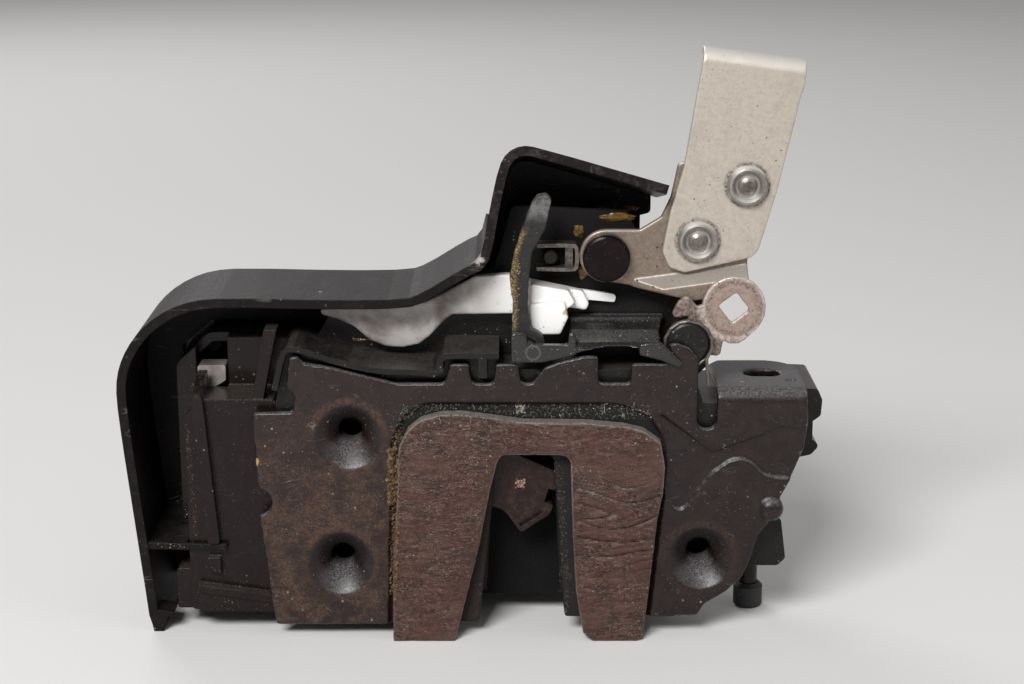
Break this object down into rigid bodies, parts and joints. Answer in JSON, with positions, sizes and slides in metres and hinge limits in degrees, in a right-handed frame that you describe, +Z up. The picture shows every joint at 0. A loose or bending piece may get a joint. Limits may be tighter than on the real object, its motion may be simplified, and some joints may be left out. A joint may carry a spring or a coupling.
{
  "type": "car door lock",
  "caption": "Car door lock with a rotary claw behind a dished steel face plate, foam mouth seal, hooked plastic shroud, release lever and lock levers",
  "frame": {"origin": "centre of the seated striker, on the front face of the face plate", "axes": "+X right as seen from the door's edge, +Y into the door, +Z up; the mouth opens towards -Z"},
  "size_m": [0.1453, 0.0486, 0.1215],
  "materials": {
    "coated_steel": "black e-coat, satin, brown dust on the left half",
    "foam": "skinned foam with fine horizontal wrinkles",
    "black_plastic": "satin moulded plastic, dusty",
    "zinc_steel": "plain zinc-plated steel",
    "dark_jacket": "dark moulded coat",
    "spring_steel": "drawn spring wire",
    "black_rubber": "soft black rubber",
    "shroud_plastic": "fine-grained black plastic with pale scuffs",
    "gloss_plastic_black": "smooth black plastic, dusty",
    "lever_steel": "matt zinc, warm grey with dark specks",
    "dark_pin": "smooth dark pin head",
    "eye_steel": "tarnished pinkish-brown zinc with dark specks",
    "white_nylon": "natural nylon with a little dirt",
    "brass_worm": "plain brass"
  },
  "bodies": {
    "base": {"face_plate": "coated_steel", "foam_seal": "foam", "latch_frame": "black_plastic", "lever_guide": "black_plastic", "back_plate": "zinc_steel", "claw_pin": "zinc_steel", "claw_spring": "spring_steel", "pawl_pin": "zinc_steel", "pawl_spring": "spring_steel", "mouth_bumper": "black_rubber", "shroud": "shroud_plastic", "side_case": "gloss_plastic_black", "rear_cover": "black_plastic", "cover_screw_set": "zinc_steel", "lever_pin": "dark_pin", "spring_boss": "black_plastic", "eye_spring": "spring_steel", "u_clip": "spring_steel", "clip_pin": "black_plastic", "lock_motor": "zinc_steel", "wheel_pin": "zinc_steel", "microswitch": "black_plastic", "connector_socket": "black_plastic", "terminals": "brass_worm", "foot_peg": "black_plastic", "foot_tip": "black_rubber"},
    "claw": {"claw": "zinc_steel", "claw_jacket": "dark_jacket"},
    "pawl": {"pawl": "zinc_steel"},
    "release": {"release_lever": "lever_steel", "lever_arm": "lever_steel", "rivet_upper": "lever_steel", "rivet_lower": "lever_steel"},
    "eye": {"eye_lever": "eye_steel"},
    "lock": {"lock_lever": "white_nylon", "lock_link": "white_nylon"},
    "sill": {"sill_lever": "black_plastic"},
    "transfer": {"transfer_link": "black_plastic"},
    "worm": {"worm": "brass_worm"},
    "wheel": {"worm_wheel": "white_nylon"},
    "slider": {"drive_slider": "white_nylon"}
  },
  "joints": [
    {"name": "claw_turn", "type": "hinge", "parent": "base", "child": "claw", "pos_m": [-0.0165, 0.0058, 0.004], "axis": [0, -1, 0], "range_deg": [0, 42], "stiffness_Nm_per_rad": 0.02, "springref_deg": -17.19},
    {"name": "release_turn", "type": "hinge", "parent": "base", "child": "release", "pos_m": [0.0166, 0.0089, 0.0464], "axis": [0, 1, 0], "range_deg": [0, 12], "stiffness_Nm_per_rad": 0.3, "springref_deg": -17.19},
    {"name": "pawl_turn", "type": "hinge", "parent": "base", "child": "pawl", "pos_m": [0.0195, 0.0058, -0.008], "axis": [0, 1, 0], "range_deg": [0, 16]},
    {"name": "transfer_slide", "type": "slide", "parent": "base", "child": "transfer", "axis": [0, 0, -1], "range_m": [0, 0.0022]},
    {"name": "eye_turn", "type": "hinge", "parent": "base", "child": "eye", "pos_m": [0.0331, 0.0035, 0.0296], "axis": [0, 1, 0], "range_deg": [-8, 12], "stiffness_Nm_per_rad": 0.02},
    {"name": "sill_turn", "type": "hinge", "parent": "base", "child": "sill", "pos_m": [0.0009, 0.0033, 0.0292], "axis": [0, -1, 0], "range_deg": [0, 8]},
    {"name": "lock_slide", "type": "slide", "parent": "base", "child": "lock", "axis": [-1, 0, 0], "range_m": [0, 0.0014]},
    {"name": "wheel_turn", "type": "hinge", "parent": "base", "child": "wheel", "pos_m": [-0.0441, 0.028, 0.0095], "axis": [0, 1, 0], "range_deg": [0, 40]},
    {"name": "worm_turn", "type": "hinge", "parent": "base", "child": "worm", "pos_m": [-0.0604, 0.028, 0], "axis": [0, 0, 1], "range_deg": [0, 1050]},
    {"name": "slider_slide", "type": "slide", "parent": "base", "child": "slider", "axis": [0, 0, 1], "range_m": [0, 0.002]}
  ],
  "couplings": [
    {"joint": "pawl_turn", "follows": "release_turn", "ratio": 1.3333},
    {"joint": "transfer_slide", "follows": "release_turn", "m_per_rad": 0.0105},
    {"joint": "lock_slide", "follows": "sill_turn", "m_per_rad": 0.01},
    {"joint": "worm_turn", "follows": "wheel_turn", "ratio": 26},
    {"joint": "slider_slide", "follows": "wheel_turn", "m_per_rad": 0.00286}
  ]
}
